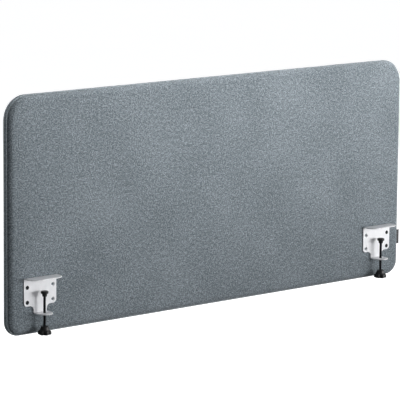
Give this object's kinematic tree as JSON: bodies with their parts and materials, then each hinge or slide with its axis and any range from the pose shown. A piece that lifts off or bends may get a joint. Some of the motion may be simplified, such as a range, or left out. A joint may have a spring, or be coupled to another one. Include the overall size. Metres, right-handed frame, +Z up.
{
  "type": "desk privacy panel",
  "caption": "Wide upholstered desk screen with rounded corners and a sewn edge welt, held to the edge of a desk top by bent-steel brackets with screw clamps.",
  "frame": {"origin": "middle of the desk top's upper edge: mid-width of the panel, on the front face of the bracket plates, level with the underside of the bracket flanges", "axes": "+X along the panel to the side with the label tab, -Y from the panel to the desk, +Z up"},
  "size_m": [1.6132, 0.0883, 0.7004],
  "materials": {
    "cover_fabric": "matte",
    "welt_fabric": "matte",
    "label_ribbon": "matte",
    "wadding": "matte",
    "timber": "matte",
    "felt_core": "matte",
    "white_powder_coat": "satin",
    "zinc_plate": "satin",
    "black_steel": "satin",
    "black_plastic": "matte"
  },
  "bodies": {
    "panel": {"front_cover": "cover_fabric", "rear_cover": "cover_fabric", "edge_welt": "welt_fabric", "label_tab": "label_ribbon", "front_wadding": "wadding", "rear_wadding": "wadding", "frame_top_rail": "timber", "frame_bottom_rail": "timber", "frame_left_stile": "timber", "frame_right_stile": "timber", "left_mounting_block": "timber", "right_mounting_block": "timber", "acoustic_core": "felt_core", "left_bracket": "white_powder_coat", "right_bracket": "white_powder_coat", "left_upper_insert": "zinc_plate", "left_upper_fixing_screw": "black_steel", "left_lower_insert": "zinc_plate", "left_lower_fixing_screw": "black_steel", "right_upper_insert": "zinc_plate", "right_upper_fixing_screw": "black_steel", "right_lower_insert": "zinc_plate", "right_lower_fixing_screw": "black_steel"},
    "left_pad": {"left_pressure_pad": "black_plastic"},
    "left_screw": {"left_clamp_screw": "black_steel", "left_knob": "black_plastic"},
    "right_pad": {"right_pressure_pad": "black_plastic"},
    "right_screw": {"right_clamp_screw": "black_steel", "right_knob": "black_plastic"}
  },
  "joints": [
    {"name": "left_pad_slide", "type": "slide", "parent": "panel", "child": "left_pad", "axis": [0, 0, 1], "range_m": [-0.045, 0.035]},
    {"name": "left_screw_turn", "type": "hinge", "parent": "left_pad", "child": "left_screw", "pos_m": [-0.6905, -0.0202, -0.1], "axis": [0, 0, 1], "range_deg": [-12960, 10080]},
    {"name": "right_pad_slide", "type": "slide", "parent": "panel", "child": "right_pad", "axis": [0, 0, 1], "range_m": [-0.045, 0.035]},
    {"name": "right_screw_turn", "type": "hinge", "parent": "right_pad", "child": "right_screw", "pos_m": [0.6905, -0.0202, -0.1], "axis": [0, 0, 1], "range_deg": [-12960, 10080]}
  ],
  "couplings": [
    {"joint": "left_screw_turn", "follows": "left_pad_slide", "rad_per_m": 5026.5},
    {"joint": "right_screw_turn", "follows": "right_pad_slide", "rad_per_m": 5026.5}
  ]
}
